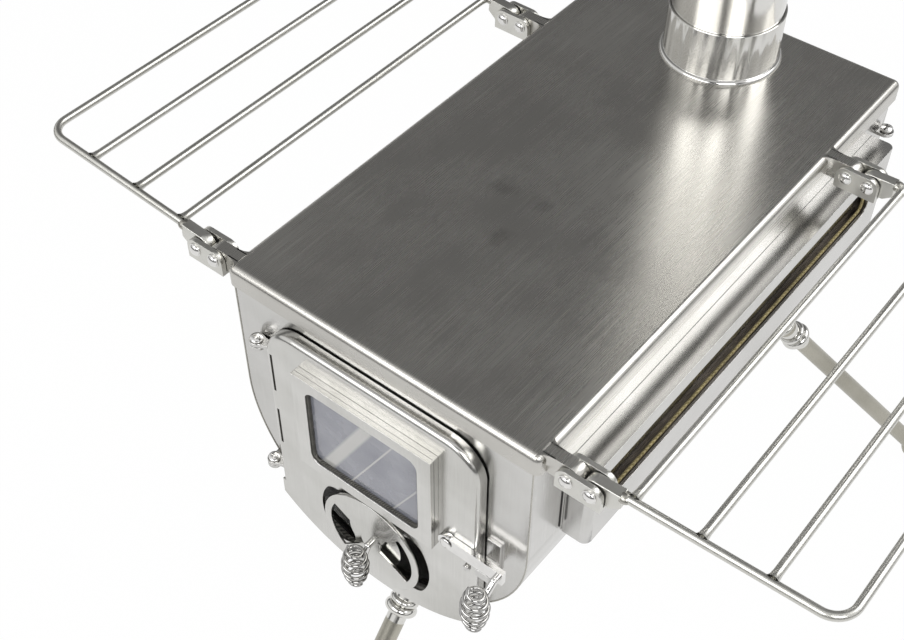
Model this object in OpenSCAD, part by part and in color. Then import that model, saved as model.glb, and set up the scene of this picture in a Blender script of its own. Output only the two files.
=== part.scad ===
// Tent wood stove with folding side shelves, a glazed door, a side window and three screw-in legs.
// Units are millimetres. Z is up from the floor, the door faces -Y, X is 0 on the middle plane.

/* [Stove body] */
// width of the top plate over its folded edges
lid_w = 258; // [248:1:268]
// length of the top plate, front to back
lid_l = 465; // [453:1:483]
// height of the top surface over the floor
top_h = 505; // [470:1:530]
// thickness of the stainless sheet
sheet_t = 1.5; // [1.2:0.1:1.8]
// step from the top plate's side edge in to the body's wall
lid_over = 4.5; // [4:0.5:5]
// depth of the top plate's folded edge
lid_edge = 16; // [12:0.5:18]
// outside bend radius of the top plate's folded edges
lid_bend_r = 5.5; // [5:0.25:6]
// height from the middle of the round bottom up to the top surface
round_drop = 110; // [105:1:118]

/* [Flue] */
// outside radius of the flue collar
collar_r = 44.8; // [43:0.2:46]
// height of the flue collar
collar_h = 42.4; // [36:0.2:50]
// distance of the flue's axis from the body's middle
flue_back = 179; // [174:1:179]
// height of the weld bead round the collar's foot
collar_bead_h = 3; // [2:0.5:4]
// length of the chimney pipe section
pipe_l = 380; // [320:5:420]
// wall of the chimney pipe
pipe_t = 1; // [0.8:0.1:1.2]
// length of the socket at the pipe's upper end
pipe_socket_l = 38; // [30:1:44]
// lift of the chimney pipe when it is pulled out of the collar
pipe_lift = 60; // [50:1:80]

/* [Side window] */
// how far the window box stands out of the wall
box_out = 20; // [18:0.5:22]
// distance of the window's middle in front of the body's middle
window_shift = 0.5; // [0:0.25:2]
// top of the window box, down from the top surface
box_top_drop = 42; // [40:1:44]
// height of the window box
box_h = 77; // [74:1:80]
// radius of the box's upright outer corners
box_corner_r = 6; // [5:0.5:8]
// length of the window opening
pane_open_l = 370; // [350:1:376]
// height of the window opening
pane_open_h = 36; // [32:1:42]
// corner radius of the window opening
pane_open_r = 8; // [6:0.5:10]
// middle of the window opening, down from the box's top
pane_open_drop = 32; // [30:1:34]
// thickness of the glass panes
glass_t = 4; // [3:0.5:4]
// width of the fibre gasket
gasket_w = 6; // [5:0.5:7]

/* [Door] */
// width of the door
door_w = 182; // [178:1:184]
// top of the door, down from the top surface
door_drop = 24; // [23:1:26]
// radius of the door's upper corners
door_corner_r = 27; // [24:1:32]
// radius of the door's lower edge
door_arc_r = 138; // [136:1:140]
// outside bend radius of the door's folded edges
bend_r = 4; // [3:0.25:5]
// depth of the door's folded walls
door_d = 9.4; // [9:0.2:9.8]
// gap between the door's walls and the front plate
door_air = 1.2; // [0.8:0.1:1.5]
// height of the door's folded walls above the middle of the lower edge
door_wall_low = 88; // [84:1:92]
// step from the door's edge in to the neck of the front plate
neck_step = 5.5; // [5:0.25:6.5]
// height of the neck round the front opening
neck_h = 5.2; // [4.4:0.1:5.4]
// width of the door's rope seal
seal_w = 8; // [6:0.5:9]
// outside width of the door's window frame
bezel_w = 119; // [116:1:122]
// outside height of the door's window frame
bezel_h = 94.5; // [92:0.5:97]
// top of the door's window frame, down from the top surface
bezel_drop = 42.5; // [41:0.5:44]
// how far the window frame stands out of the door
bezel_out = 8; // [7.7:0.1:9]
// border of the window frame round its opening
bezel_border = 11.5; // [10.5:0.5:13]
// border of the window frame above and below its opening
bezel_band = 10; // [9.5:0.5:12]
// corner radius of the window opening in the door
bezel_open_r = 8; // [6:0.5:10]
// opening angle of the door
door_swing = 160; // [120:5:160]

/* [Door hinges] */
// distance of the hinge axis from the body's middle plane
hinge_x = 102.5; // [102:0.25:104]
// distance of the hinge axis in front of the front plate
hinge_out = 6; // [5.9:0.1:6.5]
// top of the upper hinge, down from the top surface
hinge_top_drop = 50; // [48:1:60]
// top of the lower hinge, down from the top surface
hinge_low_drop = 182; // [174:1:184]
// thickness of the hinge lugs
lug_t = 3; // [2.5:0.25:3.5]
// radius of the hinge lugs' round ends
lug_r = 5.6; // [5:0.2:5.6]
// radius of the hinge screws
screw_r = 2; // [1.75:0.25:2.5]
// radius of the hinge screws' heads
screw_head_r = 4.7; // [4:0.1:5]
// height of the hinge screws' heads
screw_head_h = 2.8; // [2.4:0.1:3.4]

/* [Air damper] */
// height of the damper's axis, down from the top surface
damper_drop = 188.5; // [187:0.5:190]
// radius of the damper disc
damper_r = 44; // [43:0.5:46]
// thickness of the damper disc
damper_t = 2; // [1.5:0.25:2.5]
// width of the damper disc's thicker rim
damper_rim_w = 4; // [3:0.5:5]
// how far the damper disc stands off the door
damper_off = 2.75; // [2.5:0.25:4]
// radius of the damper's spindle
spindle_r = 3; // [2.5:0.25:3.5]
// inner radius of the air slots in the door
slot_in_r = 24; // [22:1:26]
// outer radius of the air slots in the door
slot_out_r = 50.5; // [49:0.5:51]
// half angle between the round ends of an air slot
slot_half_angle = 27; // [22:1:28]
// angle of each opening in the damper disc
port_angle = 75; // [60:1:80]
// turn of the damper disc's openings at rest
port_turn = 7.5; // [0:0.5:12]

/* [Latch] */
// distance of the latch pivot from the middle plane
latch_x = 69; // [68.5:0.25:70]
// height of the latch pivot, down from the top surface
latch_drop = 124; // [122:1:128]
// length of the latch bar from its pivot
latch_l = 46.5; // [44:0.5:48]
// height of the latch bar
latch_h = 12; // [11:0.5:13]
// thickness of the latch bar
latch_t = 4; // [3.5:0.25:4.5]
// width of the catch under the latch bar
catch_w = 11; // [9:0.5:12]
// thickness of the catch
catch_t = 2.5; // [2:0.25:3]
// opening angle of the latch
latch_swing = 50; // [30:5:55]

/* [Spring handles] */
// radius of the spring wire
wire_r = 1.4; // [1.2:0.1:1.5]
// radius of the spring at its middle, to the wire's middle
spring_mid_r = 9; // [8:0.25:9.5]
// radius of the spring at its ends, to the wire's middle
spring_end_r = 4.6; // [4:0.2:5]
// length of the spring along its axis
spring_l = 40; // [36:1:42]
// number of curls in a spring handle
spring_curls = 5.5; // [5.5:1:6.5]
// radius of the handle rods
rod_r = 2.7; // [2.4:0.1:2.9]
// distance of the damper spring's axis in front of the damper
damper_spring_out = 17; // [16:0.5:22]
// distance of the latch spring's axis in front of the latch bar
latch_spring_out = 23; // [20:0.5:26]
// height of a spring's middle below the rod's root
spring_down = 8; // [7:0.5:10]

/* [Side shelves] */
// radius of the shelf rods
shelf_rod_r = 3; // [2.5:0.25:3.25]
// distance of the front hinges from the top plate's front edge
shelf_front = 12.3; // [12:0.1:14.5]
// distance between the front and rear hinges
shelf_l = 342; // [338:1:343]
// first long rod, out from the top plate's edge
rod_first = 56.5; // [55:0.5:60]
// spacing of the long rods
rod_pitch = 44.5; // [43:0.1:46]
// rise of the left shelf outwards, in degrees
left_tilt = 4.5; // [2:0.5:5]
// rise of the right shelf outwards, in degrees
right_tilt = 2.5; // [2:0.5:5]
// bend radius of the shelf's outer corners
shelf_corner_r = 15; // [12:0.5:18]
// width of the hinge ears
ear_w = 9.4; // [8.8:0.2:9.8]
// radius of the ears' and tongues' round ends
ear_r = 8.2; // [7.8:0.1:8.3]
// thickness of the hinge links' cheeks
link_t = 3.8; // [3.4:0.1:4]
// distance between a link's two rivets
link_pitch = 17; // [16.9:0.1:18]
// distance of the inner rivet from the top plate's edge
ear_out = 16.1; // [15.5:0.1:17]
// radius of the hinge rivets
rivet_r = 3; // [2.75:0.25:3.25]
// radius of the hinge rivets' heads
rivet_head_r = 4.6; // [4.2:0.1:5]
// width of the shelves' tongues
tongue_w = 8; // [7:0.5:8.5]

/* [Legs] */
// radius of the leg tubes
leg_r = 8; // [7.5:0.25:8.5]
// lean of the legs from upright, in degrees
leg_lean = 40; // [38:1:42]
// turn of the rear legs towards the back, in degrees
leg_turn = 48; // [44:1:52]
// distance of the front leg's root in front of the body's middle
leg_front_y = 151.5; // [147:0.5:155]
// distance of the rear legs' roots behind the body's middle
leg_rear_y = 172.5; // [167:0.5:175]
// radius of the round bead at the top of a leg
leg_bead_r = 13.5; // [12.5:0.25:14]
// radius of the leg sockets
socket_r = 10; // [9.5:0.25:10.5]
// length of the leg sockets
socket_h = 80; // [70:1:90]
// radius of the feet
foot_r = 13; // [12:0.25:14]

/* [Fire grate] */
// height of the grate's cross flats over the lowest point of the body
grate_h = 30; // [26:1:34]
// radius of the grate's bars
grate_bar_r = 4; // [3:0.25:4.5]
// spacing of the grate's bars
grate_pitch = 17; // [15:0.5:17]

/* [Hidden] */
$fn = 64;
fine = 192;
bend_fn = 64;

// clearances and the overrun of cutting tools, as shares of the sheet
gap = sheet_t * 0.2;
fit_play = sheet_t * 0.0333;
over = sheet_t * 0.7;

// directions and roots of the legs
round_z = top_h - round_drop;
wall_x = lid_w / 2 - lid_over;
leg_out = sin(leg_lean) * cos(leg_turn);
leg_back = sin(leg_lean) * sin(leg_turn);
leg_fall = cos(leg_lean);
root_angle = atan(leg_out / leg_fall);
rear_root_x = wall_x * sin(root_angle);
rear_root_z = round_z - wall_x * cos(root_angle);
front_root_z = round_z - wall_x;
foot_z = foot_r * 0.7;
front_len = (front_root_z - foot_z) / leg_fall;
rear_len = (rear_root_z - foot_z) / leg_fall;
front_reach = leg_front_y + front_len * sin(leg_lean);
rear_reach = leg_rear_y + rear_len * leg_back;

// the origin lies midway between the front and rear feet, so the body's middle is at mid_y
mid_y = (front_reach - rear_reach) / 2;

// places of the body's sheets
half_lid = lid_w / 2;
half_len = lid_l / 2;
face_y = half_len - sheet_t - gap;
plate_top = top_h - sheet_t;
wrap_half = face_y - sheet_t;
lid_flat_y = half_len - lid_bend_r;
under_lid = max(0, lid_bend_r - lid_over);
wall_top = top_h - lid_bend_r + sqrt(pow(lid_bend_r - sheet_t, 2) - pow(under_lid, 2));
face_top = top_h - lid_bend_r;
floor_in = round_z - wall_x + sheet_t;

// places of the door
door_half = door_w / 2;
door_top = top_h - door_drop;
door_arc_z = round_z + sheet_t * 3.3333;
door_back = face_y + door_air;
door_face = door_back + door_d;
wall_low_z = door_arc_z - door_wall_low;
neck_half = door_half - neck_step;
neck_top = door_top - neck_step;
neck_round_r = wall_x - neck_step - sheet_t * 0.6667;
neck_corner_r = door_corner_r - neck_step;
seal_t = door_face - sheet_t - face_y - neck_h - gap;

// places of the door's window
bezel_top = top_h - bezel_drop;
bezel_mid = bezel_top - bezel_h / 2;
door_gasket_t = bezel_out - sheet_t - glass_t;
door_pane_w = bezel_w - sheet_t * 2 - gap * 4;
door_pane_h = bezel_h - sheet_t * 2 - gap * 4;
open_w = bezel_w - bezel_border * 2;
open_h = bezel_h - bezel_band * 2;
gasket_show = sheet_t;

// places of the hinges
hinge_y = face_y + hinge_out;
lug_play = gap;
lug_reach = lug_r * 4;
leaf_x = hinge_x - door_half;
upper_hinge_z = top_h - hinge_top_drop;
lower_hinge_z = top_h - hinge_low_drop;

// places of the damper and the latch
damper_z = top_h - damper_drop;
damper_back = door_face + damper_off;
damper_front = damper_back + damper_t;
bush_r = spindle_r * 2.6;
slot_mid_r = (slot_in_r + slot_out_r) / 2;
slot_half = (slot_out_r - slot_in_r) / 2;
port_in_r = spindle_r * 3;
port_out_r = damper_r - damper_rim_w * 1.5;
latch_z = top_h - latch_drop;
latch_back = door_face + gap;
latch_front = latch_back + latch_t;
latch_root = latch_l - rod_r * 1.5;
catch_x = door_half + catch_t;

// places of the side window
box_x = wall_x + box_out;
box_top = top_h - box_top_drop;
box_bottom = box_top - box_h;
tab_w = lug_r * 2.2;
tab_front_y = mid_y + wrap_half - tab_w;
pane_lap = sheet_t;
pane_mid_y = mid_y - window_shift;
pane_front_y = pane_mid_y - pane_open_l / 2;
pane_rear_y = pane_mid_y + pane_open_l / 2;
box_front_y = pane_front_y - pane_lap - box_corner_r;
box_rear_y = pane_rear_y + (tab_front_y - pane_rear_y) * 0.8;
box_len = box_rear_y - box_front_y;
pane_w = pane_open_l + pane_lap * 2;
pane_h = pane_open_h + gasket_w * 2;
pane_mid_z = box_top - pane_open_drop;
box_wall = sheet_t * 1.2;
pane_x = box_x - sheet_t - gasket_w - glass_t;

// places of the shelves
ear_x = half_lid + ear_out;
ear_z = top_h - ear_r;
tongue_x = ear_x + link_pitch;
hinge_front_y = mid_y - half_len + shelf_front;
hinge_rear_y = hinge_front_y + shelf_l;
link_in = ear_w / 2 + gap;
link_out = link_in + link_t;
link_web = sheet_t * 1.3;
link_low = ear_r + gap;
link_end_r = ear_r * 0.95;
tongue_l = ear_r * 2.2;
shelf_outer = half_lid + rod_first + rod_pitch * 3;

// sizes of the legs
ring_r = leg_bead_r * 0.9;
ring_h = leg_r * 0.65;
bead_h = leg_r;
neck_r = leg_r * 1.15;
neck_l = leg_r * 1.5;
tube_t = leg_r * 0.16;
tube_in_foot = leg_r * 0.3;

// places of the flue
flue_y = mid_y + flue_back;
pipe_r = collar_r - sheet_t - gap;
pipe_z = top_h + gap;
pipe_swell = pipe_t * 1.5;
pipe_hole_r = pipe_r - pipe_t - gap;
pipe_cone_l = pipe_t * 5;

// spring handles
curl_rings = 8;
tube_sides = 6;
spring_turns = 360 * spring_curls;
spring_start = 90 - spring_turns / 2;
spring_steps = round(curl_rings * spring_curls);

// shared shapes

// a flat rectangle with round corners about its own middle
module round_rect(w, h, r) {
    square([w - 2 * r, h], center = true);
    square([w, h - 2 * r], center = true);
    for (i = [-1, 1])
        for (j = [-1, 1])
            translate([i * (w / 2 - r), j * (h / 2 - r)])
                circle(r = r);
}

// section of a folded sheet edge: the wall lies at edge_r, the face at zero
module folded_edge(edge_r, bend, depth) {
    difference() {
        intersection() {
            translate([edge_r - bend, bend])
                circle(r = bend, $fn = bend_fn);
            translate([edge_r - bend, 0])
                square([bend, bend]);
        }
        translate([edge_r - bend, bend])
            circle(r = bend - sheet_t, $fn = bend_fn);
    }
    translate([edge_r - sheet_t, bend])
        square([sheet_t, depth - bend]);
}

// turns a flat drawing of width and height upright, its front towards -Y at the given place
module upright(y) {
    translate([0, mid_y + y, 0])
        rotate([90, 0, 0])
            children();
}

// outline of the body seen from the front, a half circle below straight walls
module body_outline(r, top) {
    intersection() {
        translate([0, round_z])
            circle(r = r, $fn = fine);
        translate([-r, round_z - r])
            square([2 * r, r]);
    }
    translate([-r, round_z])
        square([2 * r, top - round_z]);
}

// outline of the door with its edge moved in by inset
module door_outline(inset) {
    half = door_half - inset;
    low = door_arc_z - door_arc_r;
    intersection() {
        translate([0, door_arc_z])
            circle(r = door_arc_r - inset);
        union() {
            translate([-half, low])
                square([2 * half, door_top - door_corner_r - low]);
            translate([door_corner_r - door_half, low])
                square([2 * (door_half - door_corner_r), door_top - inset - low]);
            for (i = [-1, 1])
                translate([i * (door_half - door_corner_r), door_top - door_corner_r])
                    circle(r = door_corner_r - inset);
        }
    }
}

// outline of the neck round the front opening, moved in by inset
module neck_outline(inset) {
    half = neck_half - inset;
    low = round_z - neck_round_r;
    intersection() {
        body_outline(neck_round_r - inset, top_h);
        union() {
            translate([-half, low])
                square([2 * half, neck_top - neck_corner_r - low]);
            translate([neck_corner_r - neck_half, low])
                square([2 * (neck_half - neck_corner_r), neck_top - inset - low]);
            for (i = [-1, 1])
                translate([i * (neck_half - neck_corner_r), neck_top - neck_corner_r])
                    circle(r = neck_corner_r - inset);
        }
    }
}

// front or back plate without its openings, its outer face at z zero
module end_plate() {
    translate([0, 0, -sheet_t])
        linear_extrude(sheet_t)
            body_outline(wall_x, face_top);
}

// a low round head: a rim and a dome over it, its seat at z zero
module domed_head(r, h) {
    rotate_extrude()
        intersection() {
            translate([0, h * 0.5 - r * 1.6])
                circle(r = r * 1.6 + h * 0.5);
            square([r, h]);
        }
}

// a rod between two points
module rod(a, b, r) {
    d = b - a;
    len = norm(d);
    translate(a)
        rotate([0, acos(d[2] / len), atan2(d[1], d[0])])
            cylinder(r = r, h = len);
}

// unit vector
function unit(v) = v / norm(v);

// middle line of a spring handle at share t of its length, its middle at the origin
function spring_r_at(t) = spring_end_r + (spring_mid_r - spring_end_r) * sin(180 * t);
function spring_angle_at(t) = spring_start + spring_turns * t;
function spring_point(t) = [
    spring_r_at(t) * cos(spring_angle_at(t)),
    spring_r_at(t) * sin(spring_angle_at(t)),
    spring_l * (0.5 - t)
];

// middle line of the wire, with a straight end of one wire diameter at both ends
spring_line = [for (i = [0:spring_steps]) spring_point(i / spring_steps)];
spring_lead = unit(spring_line[0] - spring_line[1]) * wire_r * 2;
spring_tail = unit(spring_line[spring_steps] - spring_line[spring_steps - 1]) * wire_r * 2;
spring_path = concat(
    [spring_line[0] + spring_lead],
    spring_line,
    [spring_line[spring_steps] + spring_tail]
);
path_last = len(spring_path) - 1;
function path_share(i) = min(1, max(0, (i - 1) / spring_steps));
function path_way(i) = unit(spring_path[min(i + 1, path_last)] - spring_path[max(i - 1, 0)]);
function path_radial(i) = [cos(spring_angle_at(path_share(i))), sin(spring_angle_at(path_share(i))), 0];
function path_side(i) = unit(path_radial(i) - (path_radial(i) * path_way(i)) * path_way(i));
function wire_ring(i) = [for (k = [0:tube_sides - 1])
    spring_path[i]
    + wire_r * cos(360 * k / tube_sides) * path_side(i)
    + wire_r * sin(360 * k / tube_sides) * cross(path_way(i), path_side(i))
];
spring_points = [for (i = [0:path_last]) each wire_ring(i)];
spring_faces = concat(
    [for (i = [0:path_last - 1]) for (k = [0:tube_sides - 1]) each [
        [
            i * tube_sides + k,
            (i + 1) * tube_sides + k,
            i * tube_sides + (k + 1) % tube_sides
        ],
        [
            i * tube_sides + (k + 1) % tube_sides,
            (i + 1) * tube_sides + k,
            (i + 1) * tube_sides + (k + 1) % tube_sides
        ]
    ]],
    [for (k = [1:tube_sides - 2]) [0, k, k + 1]],
    [for (k = [1:tube_sides - 2])
        [path_last * tube_sides, path_last * tube_sides + k + 1, path_last * tube_sides + k]]
);
spring_gap = min([for (i = [0:path_last - 5]) for (j = [i + 5:path_last])
    norm(spring_path[i] - spring_path[j])]) - 2 * wire_r;
echo(spring_gap_to_itself = spring_gap);

// a barrel spring handle, its middle at the origin and its axis upright
module spring_handle() {
    polyhedron(points = spring_points, faces = spring_faces, convexity = 8);
}

// the rod that carries a spring handle, its root at the origin and going towards -Y
module handle_rod(out) {
    elbow = [0, -rod_r * 1.2, 0];
    tip = [0, -(out - spring_mid_r) - wire_r * 0.2, -spring_down];
    rod([0, 0, 0], elbow, rod_r);
    translate(elbow)
        sphere(r = rod_r * 1.06);
    rod(elbow, tip, rod_r);
}

// body sheets

// side walls and round bottom in one bent sheet
module firebox_wrap() {
    color("silver")
        difference() {
            upright(wrap_half)
                linear_extrude(2 * wrap_half)
                    difference() {
                        body_outline(wall_x, wall_top);
                        body_outline(wall_x - sheet_t, wall_top + over);
                    }
            translate([wall_x - sheet_t * 2, pane_mid_y, pane_mid_z])
                rotate([90, 0, 90])
                    linear_extrude(sheet_t * 3)
                        round_rect(pane_open_l, pane_open_h, pane_open_r);
            for (i = [0, 1])
                translate([-lid_w, mid_y + i * lid_flat_y - (1 - i) * (lid_flat_y + bend_r * 2), face_top])
                    cube([lid_w * 2, bend_r * 2, lid_bend_r * 2]);
        }
}

// front plate with a neck round its opening
module front_plate() {
    color("silver")
        upright(-face_y)
            union() {
                difference() {
                    end_plate();
                    translate([0, 0, -sheet_t - over])
                        linear_extrude(sheet_t + over * 2)
                            neck_outline(sheet_t);
                }
                linear_extrude(neck_h)
                    difference() {
                        neck_outline(0);
                        neck_outline(sheet_t);
                    }
            }
}

// closed back plate
module back_plate() {
    color("silver")
        translate([0, mid_y * 2, 0])
            mirror([0, 1, 0])
                upright(-face_y)
                    end_plate();
}

// top plate with folded edges and the flue hole
module top_plate() {
    side_w = half_lid - lid_bend_r;
    side_l = half_len - lid_bend_r;
    color("dimgray")
        translate([0, mid_y, top_h])
            difference() {
                union() {
                    for (i = [0:3])
                        rotate([0, 0, i * 90]) {
                            across = i % 2 == 0 ? half_lid : half_len;
                            along = i % 2 == 0 ? side_l : side_w;
                            corner_x = i % 2 == 0 ? side_w : side_l;
                            translate([0, along, 0])
                                rotate([90, 0, 0])
                                    linear_extrude(2 * along)
                                        mirror([0, 1])
                                            folded_edge(across, lid_bend_r, lid_edge);
                            translate([corner_x, along, 0])
                                rotate_extrude(angle = 90)
                                    mirror([0, 1])
                                        folded_edge(lid_bend_r, lid_bend_r, lid_edge);
                        }
                    translate([0, 0, -sheet_t])
                        linear_extrude(sheet_t)
                            square([2 * side_w, 2 * side_l], center = true);
                }
                translate([0, flue_back, -sheet_t - over])
                    cylinder(r = pipe_hole_r, h = sheet_t + over * 2);
            }
}

// flue collar with its round weld bead
module flue_collar() {
    color("silver")
        translate([0, flue_y, top_h])
            difference() {
                union() {
                    cylinder(r = collar_r, h = collar_h);
                    rotate_extrude()
                        intersection() {
                            translate([collar_r, 0])
                                circle(r = collar_bead_h);
                            square([collar_r + collar_bead_h, collar_bead_h]);
                        }
                }
                translate([0, 0, -over])
                    cylinder(r = collar_r - sheet_t, h = collar_h + over * 2);
            }
}

// side window

// seen from above, the window box's outline moved in by inset
module box_plan(inset) {
    square_x = box_x - box_corner_r;
    translate([wall_x, box_front_y + inset])
        square([square_x - wall_x, box_len - 2 * inset]);
    translate([wall_x, box_front_y + box_corner_r])
        square([box_x - inset - wall_x, box_len - 2 * box_corner_r]);
    translate([square_x, box_front_y + box_corner_r])
        circle(r = box_corner_r - inset);
    translate([square_x, box_rear_y - box_corner_r])
        circle(r = box_corner_r - inset);
}

// a bar of the window's rounded rectangle, from one x to another
module pane_slab(x, t, w, h, r) {
    translate([x, pane_mid_y, pane_mid_z])
        rotate([90, 0, 90])
            linear_extrude(t)
                round_rect(w, h, r);
}

// sheet box round the side window
module window_box() {
    color("silver")
        difference() {
            translate([0, 0, box_bottom])
                linear_extrude(box_h)
                    box_plan(0);
            translate([0, 0, box_bottom + box_wall])
                linear_extrude(box_h - 2 * box_wall)
                    box_plan(sheet_t);
            pane_slab(box_x - sheet_t - over, sheet_t + over * 2,
                pane_open_l, pane_open_h, pane_open_r);
        }
}

// rope gasket between the window box's face and the glass
module window_gasket() {
    color("khaki")
        difference() {
            pane_slab(box_x - sheet_t - gasket_w, gasket_w, pane_w, pane_h, pane_open_r);
            pane_slab(box_x - sheet_t - gasket_w - over, gasket_w + over * 2,
                pane_open_l - gasket_show * 2, pane_open_h - gasket_show * 2,
                pane_open_r - gasket_show);
        }
}

// side window pane
module window_glass() {
    color("lightsteelblue", 0.5)
        pane_slab(pane_x, glass_t, pane_w, pane_h, pane_open_r);
}

// channel that holds the glass off the body's wall
module window_clamp() {
    color("silver")
        difference() {
            pane_slab(wall_x, pane_x - wall_x, pane_w, pane_h, pane_open_r);
            pane_slab(wall_x - over, pane_x - wall_x + over * 2,
                pane_w - box_wall * 2, pane_h - box_wall * 2, pane_open_r - box_wall);
        }
}

// bolt heads behind the rear end of the window opening
module window_bolts() {
    head_r = screw_head_r * 0.6;
    color("gainsboro")
        for (i = [0, 1])
            translate([box_x, pane_rear_y + head_r * 2, pane_mid_z + (i * 2 - 1) * head_r * 2])
                rotate([0, 90, 0])
                    domed_head(head_r, head_r * 0.8);
}

// small tab behind the window box
module rear_tab() {
    color("silver")
        translate([wall_x, tab_front_y, box_top - lug_t])
            difference() {
                union() {
                    cube([lug_r, tab_w, lug_t]);
                    translate([lug_r, tab_w / 2, 0])
                        cylinder(r = tab_w / 2, h = lug_t);
                }
                translate([-tab_w, -over, -over])
                    cube([tab_w, tab_w + over * 2, lug_t + over * 2]);
            }
}

// screw in the rear tab
module rear_tab_screw() {
    color("gainsboro")
        translate([wall_x + lug_r, tab_front_y + tab_w / 2, box_top])
            slotted_screw(screw_r * 1.4);
}

// door hinges

// pan head with a cross recess on a short shank, its seat at z zero
module slotted_screw(shank) {
    cylinder(r = shank, h = screw_head_h * 0.5);
    translate([0, 0, screw_head_h * 0.5])
        screw_head();
}

// pan head with a cross recess, its seat at z zero
module screw_head() {
    slot_w = screw_head_r * 0.22;
    difference() {
        domed_head(screw_head_r, screw_head_h);
        for (i = [20, 110])
            rotate([0, 0, i])
                translate([-screw_head_r * 0.55, -slot_w / 2, screw_head_h * 0.45])
                    cube([screw_head_r * 1.1, slot_w, screw_head_h]);
    }
}

// hinge lug of the body: z zero is its top
module body_lug(top) {
    color("silver")
        difference() {
            translate([-hinge_x, mid_y - hinge_y, top - lug_t])
                linear_extrude(lug_t)
                    union() {
                        circle(r = lug_r);
                        translate([-lug_r, 0])
                            square([lug_r + leaf_x * 0.8, lug_reach]);
                    }
            translate([-hinge_x, mid_y - hinge_y, top - lug_t - over])
                cylinder(r = screw_r, h = lug_t + over * 2);
            upright(face_y)
                linear_extrude(2 * face_y)
                    body_outline(wall_x, plate_top);
        }
}

// hinge lug of the door: a tapered ear from the door's side wall
module door_lug(top) {
    back = hinge_y - door_back;
    front = door_face - bend_r - hinge_y;
    color("silver")
        translate([-hinge_x, mid_y - hinge_y, top - lug_t])
            difference() {
                linear_extrude(lug_t)
                    union() {
                        circle(r = lug_r);
                        polygon([
                            [-lug_r * 0.1, -lug_r * 0.99],
                            [leaf_x, -front],
                            [leaf_x, back * 0.7],
                            [lug_r * 0.1, lug_r * 0.99]
                        ]);
                    }
                translate([0, 0, -over])
                    cylinder(r = screw_r + fit_play, h = lug_t + over * 2);
            }
}

// hinge screw through both lugs of a hinge
module hinge_screw(top) {
    color("gainsboro")
        translate([-hinge_x, mid_y - hinge_y, top]) {
            translate([0, 0, lug_play])
                screw_head();
            translate([0, 0, -lug_t * 2 - lug_play])
                cylinder(r = screw_r, h = lug_t * 2 + lug_play * 2);
        }
}

module hinge_lug_upper() {
    body_lug(upper_hinge_z - lug_t - lug_play);
}

module hinge_lug_lower() {
    body_lug(lower_hinge_z - lug_t - lug_play);
}

module hinge_screw_upper() {
    hinge_screw(upper_hinge_z);
}

module hinge_screw_lower() {
    hinge_screw(lower_hinge_z);
}

module door_knuckle_upper() {
    door_lug(upper_hinge_z);
}

module door_knuckle_lower() {
    door_lug(lower_hinge_z);
}

// door

// one air slot with round ends
module air_slot() {
    intersection() {
        difference() {
            circle(r = slot_out_r);
            circle(r = slot_in_r);
        }
        union() {
            polygon([
                [0, 0],
                [slot_out_r * 2, -slot_out_r * 2 * tan(slot_half_angle)],
                [slot_out_r * 2, slot_out_r * 2 * tan(slot_half_angle)]
            ]);
            for (i = [-1, 1])
                rotate(i * slot_half_angle)
                    translate([slot_mid_r, 0])
                        circle(r = slot_half * 1.02);
        }
    }
}

// door sheet: a flat face with folded walls at its top and sides
module door_panel() {
    low = door_arc_z - door_arc_r;
    side_h = door_top - door_corner_r - wall_low_z;
    slot_w = sheet_t * 1.4;
    color("silver")
        upright(-door_face)
            difference() {
                union() {
                    for (i = [0, 1])
                        mirror([i, 0, 0]) {
                            translate([0, wall_low_z, 0])
                                rotate([-90, 0, 0])
                                    linear_extrude(side_h)
                                        folded_edge(door_half, bend_r, door_d);
                            translate([door_half - door_corner_r, door_top - door_corner_r, 0])
                                rotate_extrude(angle = 90)
                                    mirror([0, 1])
                                        folded_edge(door_corner_r, bend_r, door_d);
                        }
                    translate([door_half - door_corner_r, 0, 0])
                        rotate([0, 0, 90])
                            rotate([-90, 0, 0])
                                linear_extrude(2 * (door_half - door_corner_r))
                                    folded_edge(door_top, bend_r, door_d);
                    translate([0, 0, -sheet_t])
                        linear_extrude(sheet_t)
                            union() {
                                door_outline(bend_r);
                                intersection() {
                                    door_outline(0);
                                    translate([-door_w, low - over])
                                        square([2 * door_w, wall_low_z - low + over]);
                                }
                            }
                }
                translate([0, bezel_mid, -sheet_t - over])
                    linear_extrude(sheet_t + over * 2)
                        round_rect(open_w, open_h, bezel_open_r);
                translate([0, damper_z, -sheet_t - over])
                    linear_extrude(sheet_t + over * 2)
                        union() {
                            air_slot();
                            rotate(180)
                                air_slot();
                            circle(r = spindle_r + fit_play);
                        }
                for (drop = [door_top - open_h * 0.85, door_top - open_h * 1.62])
                    translate([bend_r * 1.1 - door_half, drop, -sheet_t - over])
                        cube([slot_w, open_h * 0.5, sheet_t + over * 2]);
            }
}

// raised frame of the door's window
module door_bezel() {
    color("silver")
        upright(-door_face)
            difference() {
                translate([-bezel_w / 2, bezel_mid - bezel_h / 2, 0])
                    cube([bezel_w, bezel_h, bezel_out]);
                translate([-bezel_w / 2 + sheet_t, bezel_mid - bezel_h / 2 + sheet_t, -over])
                    cube([bezel_w - 2 * sheet_t, bezel_h - 2 * sheet_t, bezel_out - sheet_t + over]);
                translate([0, bezel_mid, 0])
                    linear_extrude(bezel_out + over)
                        round_rect(open_w, open_h, bezel_open_r);
            }
}

// door window pane on the door's face
module door_glass() {
    color("lightsteelblue", 0.5)
        upright(-door_face)
            translate([-door_pane_w / 2, bezel_mid - door_pane_h / 2, 0])
                cube([door_pane_w, door_pane_h, glass_t]);
}

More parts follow.
